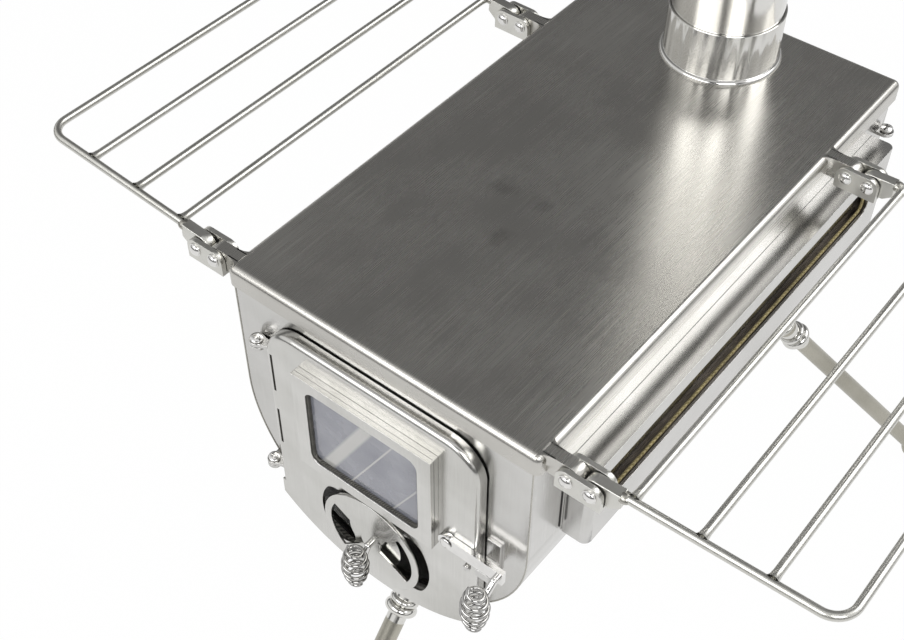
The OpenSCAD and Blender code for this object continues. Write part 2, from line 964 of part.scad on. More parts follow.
// woven gasket between the door's pane and its frame
module door_glass_gasket() {
    color("dimgray")
        upright(-door_face - glass_t)
            translate([0, bezel_mid, 0])
                linear_extrude(door_gasket_t)
                    difference() {
                        round_rect(door_pane_w, door_pane_h, bezel_open_r);
                        round_rect(open_w - gasket_show * 2, open_h - gasket_show * 2,
                            bezel_open_r - gasket_show);
                    }
}

// rope seal behind the door's face, facing the neck
module door_seal() {
    color("dimgray")
        upright(-door_face + sheet_t + seal_t)
            linear_extrude(seal_t)
                difference() {
                    neck_outline(-sheet_t);
                    neck_outline(seal_w - sheet_t);
                }
}

// bush that carries the damper's spindle
module damper_bush() {
    color("silver")
        upright(-door_face)
            translate([0, damper_z, 0])
                linear_extrude(damper_off - gap)
                    difference() {
                        circle(r = bush_r);
                        circle(r = spindle_r + fit_play);
                    }
}

// pivot rivet of the latch
module latch_rivet() {
    color("gainsboro")
        upright(-door_face)
            translate([latch_x, latch_z, 0]) {
                cylinder(r = rivet_r, h = latch_t + gap * 2);
                translate([0, 0, latch_t + gap * 2])
                    domed_head(rivet_head_r, rivet_r * 0.7);
            }
}

// small stud on the door below the latch bar
module door_stud() {
    head_r = screw_head_r * 0.55;
    color("gainsboro")
        upright(-door_face)
            translate([latch_x + latch_h * 1.25, latch_z - latch_h * 1.6, 0])
                domed_head(head_r, head_r);
}

// air damper

// one opening of the damper disc
module damper_port() {
    reach = damper_r * 2;
    intersection() {
        difference() {
            circle(r = port_out_r);
            circle(r = port_in_r);
        }
        polygon([
            [0, 0],
            [reach, -reach * tan(port_angle / 2)],
            [reach, reach * tan(port_angle / 2)]
        ]);
    }
}

// turning disc in front of the air slots
module damper_disc() {
    color("gainsboro")
        upright(-damper_back)
            translate([0, damper_z, 0])
                difference() {
                    union() {
                        cylinder(r = damper_r, h = damper_t);
                        translate([0, 0, -damper_t * 0.4])
                            linear_extrude(damper_t)
                                difference() {
                                    circle(r = damper_r);
                                    circle(r = damper_r - damper_rim_w);
                                }
                    }
                    rotate([0, 0, port_turn])
                        translate([0, 0, -over])
                            linear_extrude(damper_t + over * 2)
                                union() {
                                    damper_port();
                                    rotate(180)
                                        damper_port();
                                }
                }
}

// spindle behind the disc with its retaining collar inside the door
module damper_spindle() {
    collar_t = spindle_r;
    color("gainsboro")
        upright(-damper_back)
            translate([0, damper_z, 0])
                union() {
                    translate([0, 0, -damper_off - sheet_t - gap - collar_t])
                        cylinder(r = spindle_r, h = damper_off + sheet_t + gap + collar_t);
                    translate([0, 0, -damper_off - sheet_t - gap - collar_t])
                        cylinder(r = bush_r, h = collar_t);
                }
}

module damper_rod() {
    color("gainsboro")
        translate([0, mid_y - damper_front, damper_z])
            handle_rod(damper_spring_out);
}

module damper_spring() {
    color("whitesmoke")
        translate([0, mid_y - damper_front - damper_spring_out, damper_z - spring_down])
            spring_handle();
}

// latch

// swinging bar with a round end at its pivot
module latch_bar() {
    color("gainsboro")
        upright(-latch_back)
            translate([latch_x, latch_z, 0])
                linear_extrude(latch_t)
                    difference() {
                        union() {
                            circle(r = latch_h * 0.58);
                            translate([0, -latch_h / 2])
                                square([latch_l, latch_h]);
                        }
                        circle(r = rivet_r + fit_play);
                    }
}

module latch_rod() {
    color("gainsboro")
        translate([latch_x + latch_root, mid_y - latch_front, latch_z])
            handle_rod(latch_spring_out);
}

module latch_spring() {
    color("whitesmoke")
        translate([latch_x + latch_root, mid_y - latch_front - latch_spring_out, latch_z - spring_down])
            spring_handle();
}

// bracket on the front plate that the latch bar rests on
module latch_catch() {
    seat = latch_z - latch_h / 2 - gap;
    reach = latch_front - face_y + gap;
    color("silver")
        translate([catch_x, mid_y - face_y, 0]) {
            translate([0, -catch_t, seat - catch_t * 4])
                cube([catch_w, catch_t, catch_t * 12]);
            translate([0, -reach, seat - catch_t])
                cube([catch_w, reach - catch_t, catch_t]);
            translate([0, -reach, seat - catch_t * 3])
                cube([catch_w, catch_t, catch_t * 2]);
        }
}

// legs

// turns a drawing along +Z into a leg's direction, from its root on the body
module leg_place(side) {
    front_root = [0, mid_y - leg_front_y, front_root_z];
    root = side == 0 ? front_root : [side * rear_root_x, mid_y + leg_rear_y, rear_root_z];
    heading = side == 0 ? -90 : (side > 0 ? leg_turn : 180 - leg_turn);
    translate(root)
        rotate([0, 180 - leg_lean, heading])
            children();
}
function leg_len(side) = side == 0 ? front_len : rear_len;

// threaded socket tube under the body, cut to the body's curve, with two rings at its mouth
module leg_socket(side) {
    color("silver")
        difference() {
            leg_place(side)
                union() {
                    translate([0, 0, -socket_r * 2])
                        cylinder(r = socket_r, h = socket_r * 2 + socket_h);
                    for (i = [1, 2])
                        translate([0, 0, socket_h - ring_h * i])
                            screw_ring(ring_r);
                }
            upright(face_y)
                linear_extrude(2 * face_y)
                    body_outline(wall_x, plate_top);
        }
}

// ring with a round outer edge, its lower face at z zero
module screw_ring(r) {
    rotate_extrude() {
        square([r - ring_h / 2, ring_h]);
        translate([r - ring_h / 2, ring_h / 2])
            circle(r = ring_h / 2);
    }
}

// leg: neck, screw ring, round bead and a long tube
module leg(side) {
    end = leg_len(side) - tube_in_foot;
    ring_at = socket_h + neck_l;
    bead_at = ring_at + ring_h + gap * 2;
    color("silver")
        leg_place(side)
            rotate_extrude()
                difference() {
                    union() {
                        translate([0, socket_h])
                            square([neck_r, bead_at - socket_h]);
                        translate([0, ring_at])
                            square([ring_r - ring_h / 2, ring_h]);
                        intersection() {
                            translate([ring_r - ring_h / 2, ring_at + ring_h / 2])
                                circle(r = ring_h / 2);
                            translate([0, ring_at])
                                square([ring_r * 2, ring_h]);
                        }
                        translate([0, bead_at])
                            square([leg_bead_r - bead_h / 2, bead_h]);
                        translate([leg_bead_r - bead_h / 2, bead_at + bead_h / 2])
                            circle(r = bead_h / 2);
                        translate([0, bead_at])
                            square([leg_r, end - bead_at]);
                    }
                    translate([-over, bead_at + bead_h * 1.5])
                        square([leg_r - tube_t + over, end]);
                    translate([-leg_r, 0])
                        square([leg_r, end * 2]);
                }
}

// round foot with a flat sole
module foot(side) {
    color("dimgray")
        difference() {
            leg_place(side)
                translate([0, 0, leg_len(side)])
                    sphere(r = foot_r);
            leg_place(side)
                translate([0, 0, leg_len(side) - tube_in_foot - foot_r * 2])
                    cylinder(r = leg_r, h = foot_r * 2);
            translate([-half_len * 2, -half_len * 2, -foot_r * 2])
                cube([half_len * 4, half_len * 4, foot_r * 2]);
        }
}

module leg_socket_front() {
    leg_socket(0);
}

module leg_socket_left() {
    leg_socket(-1);
}

module leg_socket_right() {
    leg_socket(1);
}

module leg_front() {
    leg(0);
}

module leg_left() {
    leg(-1);
}

module leg_right() {
    leg(1);
}

module foot_front() {
    foot(0);
}

module foot_left() {
    foot(-1);
}

module foot_right() {
    foot(1);
}

// side shelves

// flat shape seen from the front, centred on a hinge, as thick as w
module cheek(x, y, w) {
    translate([x, y + w / 2, ear_z])
        rotate([90, 0, 0])
            linear_extrude(w)
                children();
}

// fixed ear flush with the top plate, its inner end shaped to the plate's folded edge
module ear(y) {
    bend_x = -ear_out - lid_bend_r;
    bend_y = ear_r - lid_bend_r;
    reach = ear_out + lid_bend_r * 0.7;
    color("silver")
        cheek(ear_x, y, ear_w)
            difference() {
                union() {
                    circle(r = ear_r);
                    translate([-reach, -ear_r])
                        square([reach, 2 * ear_r]);
                }
                circle(r = rivet_r + fit_play);
                intersection() {
                    translate([bend_x, bend_y])
                        circle(r = lid_bend_r);
                    translate([bend_x, bend_y])
                        square([lid_bend_r, lid_bend_r]);
                }
                translate([bend_x, -ear_r * 2])
                    square([lid_bend_r, bend_y + ear_r * 2]);
            }
}

// outline of a link's cheek: round upper corners, square lower ones
module link_outline() {
    translate([-link_end_r, -link_low - link_web])
        square([link_pitch + link_end_r * 2, link_low + link_web]);
    circle(r = link_end_r);
    translate([link_pitch, 0])
        circle(r = link_end_r);
    square([link_pitch, link_end_r]);
}

// double hinge link: two cheeks, a web under them and two rivets
module link(y) {
    color("gainsboro")
        union() {
            for (i = [-1, 1])
                cheek(ear_x, y + i * (link_in + link_t / 2), link_t)
                    link_outline();
            cheek(ear_x, y, link_in * 2)
                translate([-link_end_r, -link_low - link_web])
                    square([link_pitch + link_end_r * 2, link_web]);
            for (x = [ear_x, tongue_x]) {
                cheek(x, y, link_out * 2)
                    circle(r = rivet_r);
                for (i = [0, 1])
                    translate([x, y, ear_z])
                        rotate([0, 0, i * 180])
                            translate([0, -link_out, 0])
                                rotate([90, 0, 0])
                                    domed_head(rivet_head_r, rivet_r * 0.6);
            }
        }
}

// tongue that joins a shelf to its link
module tongue(y, tilt) {
    color("silver")
        cheek(tongue_x, y, tongue_w)
            rotate(tilt)
                difference() {
                    union() {
                        circle(r = ear_r);
                        polygon([
                            [0, -ear_r],
                            [tongue_l - ear_r * 0.9, -ear_r],
                            [tongue_l, -ear_r * 0.35],
                            [tongue_l, ear_r],
                            [0, ear_r]
                        ]);
                    }
                    circle(r = rivet_r + fit_play);
                }
}

// a shelf's rod frame with its long rods, raised about its tongues' rivets
module shelf(tilt) {
    start = tongue_l;
    outer = shelf_outer - tongue_x;
    bend_x = outer - shelf_corner_r;
    first = half_lid + rod_first - tongue_x;
    rise = ear_r - shelf_rod_r;
    color("gainsboro")
        translate([tongue_x, 0, ear_z])
            rotate([0, -tilt, 0])
                translate([0, 0, rise])
                    union() {
                        for (y = [hinge_front_y, hinge_rear_y])
                            rod([start, y, 0], [bend_x, y, 0], shelf_rod_r);
                        for (i = [0:2])
                            rod([first + rod_pitch * i, hinge_front_y, 0],
                                [first + rod_pitch * i, hinge_rear_y, 0], shelf_rod_r);
                        rod([outer, hinge_front_y + shelf_corner_r, 0],
                            [outer, hinge_rear_y - shelf_corner_r, 0], shelf_rod_r);
                        translate([bend_x, hinge_front_y + shelf_corner_r, 0])
                            rotate([0, 0, -90])
                                rotate_extrude(angle = 90)
                                    translate([shelf_corner_r, 0])
                                        circle(r = shelf_rod_r);
                        translate([bend_x, hinge_rear_y - shelf_corner_r, 0])
                            rotate_extrude(angle = 90)
                                translate([shelf_corner_r, 0])
                                    circle(r = shelf_rod_r);
                    }
}

module ear_right_front() {
    ear(hinge_front_y);
}

module ear_right_rear() {
    ear(hinge_rear_y);
}

module ear_left_front() {
    mirror([1, 0, 0])
        ear(hinge_front_y);
}

module ear_left_rear() {
    mirror([1, 0, 0])
        ear(hinge_rear_y);
}

module link_right_front() {
    link(hinge_front_y);
}

module link_right_rear() {
    link(hinge_rear_y);
}

module link_left_front() {
    mirror([1, 0, 0])
        link(hinge_front_y);
}

module link_left_rear() {
    mirror([1, 0, 0])
        link(hinge_rear_y);
}

module tongue_right_front() {
    tongue(hinge_front_y, right_tilt);
}

module tongue_right_rear() {
    tongue(hinge_rear_y, right_tilt);
}

module tongue_left_front() {
    mirror([1, 0, 0])
        tongue(hinge_front_y, left_tilt);
}

module tongue_left_rear() {
    mirror([1, 0, 0])
        tongue(hinge_rear_y, left_tilt);
}

module shelf_right() {
    shelf(right_tilt);
}

module shelf_left() {
    mirror([1, 0, 0])
        shelf(left_tilt);
}

// inside the firebox

// welded bar grate that lies in the round bottom
module fire_grate() {
    flat_z = floor_in + grate_h;
    flat_h = grate_bar_r * 2;
    bar_l = wrap_half * 0.83;
    color("dimgray")
        union() {
            for (i = [-1, 0, 1])
                upright(i * bar_l * 0.75 + grate_bar_r / 2)
                    linear_extrude(grate_bar_r)
                        intersection() {
                            translate([0, round_z])
                                circle(r = wall_x - sheet_t);
                            translate([-wall_x, flat_z - flat_h])
                                square([2 * wall_x, flat_h]);
                        }
            for (i = [-4:4])
                rod([i * grate_pitch, mid_y - bar_l, flat_z],
                    [i * grate_pitch, mid_y + bar_l, flat_z], grate_bar_r);
        }
}

// chimney

// chimney pipe section with a swelled socket at its upper end
module chimney_pipe() {
    socket_z = pipe_l - pipe_socket_l;
    color("gainsboro")
        translate([0, flue_y, pipe_z])
            rotate_extrude()
                polygon([
                    [pipe_r - pipe_t, 0],
                    [pipe_r, 0],
                    [pipe_r, socket_z - pipe_cone_l],
                    [pipe_r + pipe_swell, socket_z],
                    [pipe_r + pipe_swell, pipe_l],
                    [pipe_r + pipe_swell - pipe_t, pipe_l],
                    [pipe_r + pipe_swell - pipe_t, socket_z],
                    [pipe_r - pipe_t, socket_z - pipe_cone_l]
                ]);
}

firebox_wrap();
front_plate();
back_plate();
top_plate();
flue_collar();
window_box();
window_glass();
window_gasket();
window_clamp();
window_bolts();
rear_tab();
rear_tab_screw();
hinge_lug_upper();
hinge_lug_lower();
hinge_screw_upper();
hinge_screw_lower();
latch_catch();
leg_socket_front();
leg_socket_left();
leg_socket_right();
leg_front();
leg_left();
leg_right();
foot_front();
foot_left();
foot_right();
ear_left_front();
ear_left_rear();
ear_right_front();
ear_right_rear();
fire_grate();
door_panel();
door_bezel();
door_glass();
door_glass_gasket();
door_seal();
door_knuckle_upper();
door_knuckle_lower();
damper_bush();
latch_rivet();
door_stud();
damper_disc();
damper_spindle();
damper_rod();
damper_spring();
latch_bar();
latch_rod();
latch_spring();
link_left_front();
link_left_rear();
link_right_front();
link_right_rear();
shelf_left();
shelf_right();
tongue_left_front();
tongue_left_rear();
tongue_right_front();
tongue_right_rear();
chimney_pipe();
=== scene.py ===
# %% [markdown]
# # A tent wood stove in stainless steel
#
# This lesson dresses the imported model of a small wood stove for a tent. The stove is made of
# bent and brushed stainless sheet, with glazed openings, folding rod shelves, a turning air
# damper and two coiled spring handles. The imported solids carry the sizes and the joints, so
# every piece that is modelled here sits on them and rides on one of their bodies.

# %% Load the frame and keep its box
import math

import bpy
from mathutils import Matrix, Vector


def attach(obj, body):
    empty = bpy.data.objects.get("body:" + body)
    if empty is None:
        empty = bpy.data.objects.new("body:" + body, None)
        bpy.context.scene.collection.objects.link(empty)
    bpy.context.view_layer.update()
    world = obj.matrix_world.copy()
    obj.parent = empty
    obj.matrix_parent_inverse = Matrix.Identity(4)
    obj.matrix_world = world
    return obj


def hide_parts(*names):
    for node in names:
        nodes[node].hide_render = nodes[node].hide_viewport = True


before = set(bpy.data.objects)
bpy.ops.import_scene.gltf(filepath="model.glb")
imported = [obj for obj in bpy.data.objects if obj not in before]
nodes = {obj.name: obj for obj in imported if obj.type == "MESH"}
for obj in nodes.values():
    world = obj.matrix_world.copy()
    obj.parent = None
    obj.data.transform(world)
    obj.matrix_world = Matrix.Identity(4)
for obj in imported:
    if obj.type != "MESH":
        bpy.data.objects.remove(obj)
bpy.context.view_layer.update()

MM = 0.001
cook_top_z = 505.0  # the height of the top plate, in millimetres

# %% [markdown]
# ## Small helpers
#
# An operator works on everything that is selected, and loading leaves the solids selected, so
# each step starts with nothing selected. Places are written in millimetres, as on a drawing,
# and turned to metres in one spot.


# %% Selection, faces and finishing
def mm(*values):
    """A place or a size given in millimetres, as metres."""
    return tuple(v * MM for v in values)


def nothing_selected():
    if bpy.context.object is not None and bpy.context.object.mode != "OBJECT":
        bpy.ops.object.mode_set(mode="OBJECT")
    bpy.ops.object.select_all(action="DESELECT")


def only(piece):
    nothing_selected()
    piece.select_set(True)
    bpy.context.view_layer.objects.active = piece
    return piece


def named(name):
    piece = bpy.context.object
    piece.name = name
    piece.data.name = name
    return piece


def settle(piece):
    """Puts the object at the origin and leaves its place in its mesh."""
    only(piece)
    bpy.ops.object.transform_apply(location=True, rotation=True, scale=True)
    return piece


def apply_modifiers(piece):
    only(piece)
    for modifier in list(piece.modifiers):
        bpy.ops.object.modifier_apply(modifier=modifier.name)
    return piece


def soften(piece, width_mm, segments=3, angle=30):
    """Rounds the sharp edges a little, as every real edge is, and shades the piece smoothly."""
    bevel = piece.modifiers.new("edge", "BEVEL")
    bevel.width = width_mm * MM
    bevel.segments = segments
    bevel.limit_method = "ANGLE"
    bevel.angle_limit = math.radians(angle)
    apply_modifiers(piece)
    bpy.ops.object.shade_smooth_by_angle(angle=math.radians(35))
    return piece


def outward(piece):
    """Turns all the faces of a mirrored piece outward again."""
    only(piece)
    bpy.ops.object.mode_set(mode="EDIT")
    bpy.ops.mesh.select_all(action="SELECT")
    bpy.ops.mesh.normals_make_consistent(inside=False)
    bpy.ops.object.mode_set(mode="OBJECT")


def joined(parts, name):
    """Makes one piece of several, under the first one's object."""
    nothing_selected()
    for part in parts:
        part.select_set(True)
    bpy.context.view_layer.objects.active = parts[0]
    bpy.ops.object.join()
    return named(name)


def place(piece, body, slot, material, *stands_for):
    """Gives a finished piece its body and its material, and hides the solids that it stands for."""
    settle(piece)
    piece.data.materials.clear()
    piece.data.materials.append(material)
    if stands_for:
        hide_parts(*stands_for)
    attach(piece, body)
    return piece


nothing_selected()

# %% [markdown]
# ## The camera
#
# The photograph looks down on the stove from the front right. Its straight edges give the
# camera's place, its direction and a lens of about 55 mm on a 36 mm sensor.

# %% Camera
camera_spot = Vector(mm(391.29, -629.596, 1148.73))
camera_forward = Vector((-0.42498, 0.53068, -0.73332))
camera_right = Vector((0.77909, 0.62690, 0.00216))
camera_lens = 54.943

nothing_selected()
bpy.ops.object.camera_add(location=camera_spot)
camera = bpy.context.object
camera.name = "photo_camera"
camera_back = -camera_forward.normalized()
camera_side = camera_right.normalized()
camera_up = camera_back.cross(camera_side)
turn = Matrix((camera_side, camera_up, camera_back)).transposed()
camera.rotation_euler = turn.to_euler()
camera.data.lens = camera_lens
camera.data.sensor_width = 36
camera.data.clip_start = 0.05
bpy.context.scene.camera = camera
print("camera looks along", tuple(round(v, 3) for v in camera_forward))

# %% [markdown]
# ## Colours and nodes
#
# Colours are written as the hex values that a picture editor shows. The shader works with
# linear light, so one function turns them. One more small function adds a node, sets it and
# links its inputs, which keeps each material readable.


# %% Colour and node helpers
def shade(code, alpha=1.0):
    """An sRGB hex colour as the linear values that a shader reads."""
    parts = [int(code[i : i + 2], 16) / 255 for i in (1, 3, 5)]
    linear = [p / 12.92 if p <= 0.04045 else ((p + 0.055) / 1.055) ** 2.4 for p in parts]
    return (*linear, alpha)


def add_node(tree, kind, inputs=None, **settings):
    """Adds a node, sets its properties, and sets or links its inputs by name or number."""
    node = tree.nodes.new(kind)
    for key, value in settings.items():
        setattr(node, key, value)
    for key, value in (inputs or {}).items():
        if isinstance(value, bpy.types.NodeSocket):
            tree.links.new(value, node.inputs[key])
        else:
            node.inputs[key].default_value = value
    return node


def ramp(tree, factor, *stops):
    """A colour ramp through stops of place and grey value or colour."""
    node = add_node(tree, "ShaderNodeValToRGB", {"Fac": factor})
    elements = node.color_ramp.elements
    while len(elements) < len(stops):
        elements.new(0.5)
    for element, (spot, value) in zip(elements, stops):
        element.position = spot
        element.color = value if isinstance(value, tuple) else (value, value, value, 1)
    return node.outputs["Color"]


def new_material(name):
    material = bpy.data.materials.new(name)
    material.use_nodes = True
    tree = material.node_tree
    tree.nodes.clear()
    surface = add_node(tree, "ShaderNodeBsdfPrincipled")
    add_node(tree, "ShaderNodeOutputMaterial", {"Surface": surface.outputs["BSDF"]})
    coordinates = add_node(tree, "ShaderNodeTexCoord").outputs["Object"]
    return material, tree, surface, coordinates


def stretched(tree, coordinates, sizes_mm, detail=3.0, roughness=0.55):
    """Noise whose grains measure sizes_mm along X, Y and Z."""
    scale = tuple(1 / (size * MM) for size in sizes_mm)
    spot = add_node(tree, "ShaderNodeMapping", {"Vector": coordinates, "Scale": scale})
    noise = add_node(
        tree,
        "ShaderNodeTexNoise",
        {"Vector": spot.outputs["Vector"], "Scale": 1.0, "Detail": detail, "Roughness": roughness},
    )
    return noise.outputs["Fac"]


def blend_colour(tree, factor, first, second, mode="MIX"):
    """Two colours mixed, or multiplied where mode says so."""
    node = add_node(tree, "ShaderNodeMix", {"Factor": factor}, data_type="RGBA", blend_type=mode)
    for socket, value in ((node.inputs[6], first), (node.inputs[7], second)):
        if isinstance(value, bpy.types.NodeSocket):
            tree.links.new(value, socket)
        else:
            socket.default_value = value
    return node.outputs[2]


def spread(tree, value, low, high, start=0.25, end=0.75):
    """A value between start and end, spread from low to high."""
    ends = {"Value": value, "From Min": start, "From Max": end, "To Min": low, "To Max": high}
    return add_node(tree, "ShaderNodeMapRange", ends).outputs["Result"]


def sum_of(tree, first, second, operation="ADD"):
    """Two values added, or put together by another operation."""
    return add_node(tree, "ShaderNodeMath", {0: first, 1: second}, operation=operation).outputs[0]


def reach_from(tree, spot, place_mm):
    """How far a surface point lies from a place given in millimetres."""
    centre = add_node(tree, "ShaderNodeCombineXYZ", dict(zip("XYZ", mm(*place_mm))))
    ends = {0: spot, 1: centre.outputs["Vector"]}
    return add_node(tree, "ShaderNodeVectorMath", ends, operation="DISTANCE").outputs["Value"]


def opened(material):
    """A finished material's nodes, its shader and its Object coordinates."""
    tree = material.node_tree
    surface = next(node for node in tree.nodes if node.type == "BSDF_PRINCIPLED")
    spot = next(node for node in tree.nodes if node.type == "TEX_COORD").outputs["Object"]
    return tree, surface, spot


print("node helpers ready")

# %% [markdown]
# ## Brushed stainless sheet
#
# Stainless sheet is a chromium and nickel steel. The mill brushes it with an abrasive belt,
# which leaves fine parallel grain, and it keeps a warm grey tone. The eye reads it from three
# things: the grain's direction, slow changes of tone from handling and heat, and a few longer
# scratches. The belt's grain is about 0.1 mm wide, too fine to show, so it is drawn about
# 0.7 mm wide here.


# %% Brushed metal
def brushed_metal(name, dark, light, rough, grain_mm, bump=0.12, wave=0.10, way=None, shine=0.0):
    """Steel with belt grain of sizes grain_mm, slow blotches, and a sheet's faint waves."""
    material, tree, surface, spot = new_material(name)
    grain = stretched(tree, spot, grain_mm, detail=3.0, roughness=0.6)
    looks = add_node(tree, "ShaderNodeNewGeometry").outputs["Normal"]
    faces = add_node(tree, "ShaderNodeSeparateXYZ", {"Vector": looks})
    if max(grain_mm) > 2 * min(grain_mm):
        # the cut end of a long grain would show as dots, so it fades there
        long_axis = "XYZ"[grain_mm.index(max(grain_mm))]
        endwise = sum_of(tree, faces.outputs[long_axis], 0.0, "ABSOLUTE")
        shown = spread(tree, endwise, 1.0, 0.0, start=0.5, end=0.85)
        middle = sum_of(tree, grain, -0.5)
        grain = sum_of(tree, sum_of(tree, middle, shown, "MULTIPLY"), 0.5)
    cloud = stretched(tree, spot, (70, 85, 60), detail=3.0)
    tone = ramp(tree, cloud, (0.36, shade(dark)), (0.64, shade(light)))
    fine = ramp(tree, grain, (0.3, 0.93), (0.7, 1.0))
    colour = blend_colour(tree, 1.0, tone, fine, mode="MULTIPLY")
    tree.links.new(colour, surface.inputs["Base Color"])
    low, high = rough
    tree.links.new(
        sum_of(tree, spread(tree, grain, low, high), spread(tree, cloud, -0.03, 0.03)),
        surface.inputs["Roughness"],
    )
    surface.inputs["Metallic"].default_value = 1.0
    slow = stretched(tree, spot, (95, 95, 95), detail=1.0)
    bent = add_node(
        tree, "ShaderNodeBump", {"Height": slow, "Strength": wave, "Distance": 6 * MM}
    ).outputs["Normal"]
    raised = add_node(
        tree,
        "ShaderNodeBump",
        {"Height": grain, "Strength": bump, "Distance": 0.05 * MM, "Normal": bent},
    )
    tree.links.new(raised.outputs["Normal"], surface.inputs["Normal"])
    if way:
        level = spread(tree, faces.outputs["Z"], 0.0, shine, start=0.6, end=0.9)
        tree.links.new(level, surface.inputs["Anisotropic"])
        along = add_node(tree, "ShaderNodeCombineXYZ", dict(zip("XYZ", way)))
        tree.links.new(along.outputs["Vector"], surface.inputs["Tangent"])
    return material


# the cook top: 1.5 mm stainless sheet, belt ground along its length
top_steel = brushed_metal(
    "brushed_stainless_cook_top", "#bdbbb6", "#c5c3be", (0.23, 0.31), (0.9, 70, 0.9),
    bump=0.14, wave=0.05, way=(0.0, 1.0, 0.0), shine=0.45,
)
# the body: the same sheet with its satin mill finish
sheet_steel = brushed_metal(
    "satin_stainless_sheet", "#c1c0bd", "#cdccca", (0.20, 0.27), (1.0, 1.0, 60), bump=0.02,
    wave=0.16,
)
# the door and its window frame: satin sheet, a little brighter
door_steel = brushed_metal(
    "satin_stainless_door", "#c3c2be", "#d1d0cd", (0.19, 0.25), (1.0, 1.0, 45), bump=0.02,
    wave=0.22,
)
# the legs: ground stainless tube
tube_steel = brushed_metal(
    "fine_ground_stainless_tube", "#a4a196", "#b3b0a5", (0.30, 0.38), (1.0, 1.0, 9), bump=0.05,
    wave=0.0,
)
# the chimney pipe and its collar: thin polished sheet, rolled
pipe_steel = brushed_metal(
    "polished_stainless_pipe", "#cecdc9", "#dbdad7", (0.08, 0.15), (25, 25, 0.9), bump=0.03,
    wave=0.12,
)
# the shelves: drawn stainless rod of 6 mm
rod_steel = brushed_metal(
    "drawn_stainless_rod", "#c6c5bf", "#d3d2cd", (0.27, 0.34), (9, 9, 9), bump=0.02, wave=0.0
)
# rivets, screws and rods: turned and polished stainless
bright_steel = brushed_metal(
    "polished_spring_steel", "#d3d2d0", "#dfdedc", (0.05, 0.09), (6, 6, 6), bump=0.01, wave=0.0
)
# the spring handles: drawn wire, bright but darker than the rivets
spring_steel = brushed_metal(
    "bright_drawn_spring_wire", "#a3a2a0", "#b5b4b2", (0.05, 0.09), (5, 5, 5), bump=0.01, wave=0.0
)
# the grate: rod that the fire has tinted
grate_steel = brushed_metal(
    "warm_stained_steel_grate", "#b9b5aa", "#cdc9bf", (0.25, 0.4), (1.2, 30, 1.2), bump=0.1,
    wave=0.0,
)
# weld beads: dull, rippled metal
bead_steel = brushed_metal(
    "weld_bead_steel", "#9a9891", "#b6b4ad", (0.2, 0.35), (1.6, 1.6, 1.6), bump=1.0, wave=0.0
)
# the bed of the side pane: sheet painted dark brown, as painted shade in the window's slot
window_bed_shade_steel = brushed_metal(
    "dark_steel_painted_shade", "#39332d", "#6a635a", (0.28, 0.42), (1.2, 40, 1.2), bump=0.1, wave=0.0
)
print("metals:", len(bpy.data.materials))

# %% [markdown]
# ## Marks of use on the cook top
#
# Two kinds of mark lie on the top plate: a few hair scratches that run with the grain, in
# patches, and three dull finger marks near the middle. Both go into the colour between the
# steel's tone and its shader.


# %% Scratches and finger marks
tree, surface, spot = opened(top_steel)
steel = surface.inputs["Base Color"].links[0].from_socket
hair = ramp(tree, stretched(tree, spot, (0.9, 75, 0.9), 1.0, 0.3), (0.68, 0.0), (0.71, 0.6))
patch = ramp(tree, stretched(tree, spot, (60, 80, 60), 2.0), (0.48, 0.0), (0.60, 1.0))
reach = reach_from(tree, spot, (62, -150, cook_top_z))
worn = spread(tree, reach, 1.0, 0.0, start=45 * MM, end=75 * MM)
patch = sum_of(tree, patch, worn, "MAXIMUM")
marked = blend_colour(tree, sum_of(tree, hair, patch, "MULTIPLY"), steel, shade("#dddbd5"))
for x, y, radius in ((-33, -42, 13), (-4, -85, 11), (-2, -41, 9)):
    wobble = stretched(tree, spot, (9, 9, 9), 2.0)
    reach = reach_from(tree, spot, (x, y, cook_top_z))
    reach = sum_of(tree, reach, spread(tree, wobble, -4 * MM, 4 * MM))
    dull = spread(tree, reach, 0.22, 0.0, start=radius * 0.35 * MM, end=radius * MM)
    marked = blend_colour(tree, dull, marked, shade("#4c4843"))
tree.links.new(marked, surface.inputs["Base Color"])
print("marks on", top_steel.name)

# %% [markdown]
# ## Polished rings on the legs
#
# A leg's screw ring and bead are turned and polished, while its tube keeps a ground finish. A
# ball round each bead's middle picks out the rings.

# %% Rings of the legs
tree, surface, spot = opened(tube_steel)
nearest = None
for bead_mm in ((103.5, 232.4, 210.7), (-103.5, 232.4, 210.7), (0.0, -202.4, 194.7)):
    reach = reach_from(tree, spot, bead_mm)
    nearest = reach if nearest is None else sum_of(tree, nearest, reach, "MINIMUM")
ringed = spread(tree, nearest, 1.0, 0.0, start=16 * MM, end=16.5 * MM)
for socket, value in (("Roughness", (0.1, 0.1, 0.1, 1)), ("Base Color", shade("#d3d2ce"))):
    plain = surface.inputs[socket].links[0].from_socket
    tree.links.new(blend_colour(tree, ringed, plain, value), surface.inputs[socket])
print("ringed:", tube_steel.name)

# %% [markdown]
# ## Glass
#
# A stove's window is a glass ceramic pane, 4 mm thick. It is clear, faintly grey, and smooth
# enough to mirror the room. A film of soot breaks its shine a little. On the door's pane, pale
# slanted streaks in its colour are painted reflections.


# %% Glass ceramic
reflection_lean = 0.57  # how far a painted reflection streak runs sideways for each step up
door_pane_z = cook_top_z - 86  # the middle of the door's pane


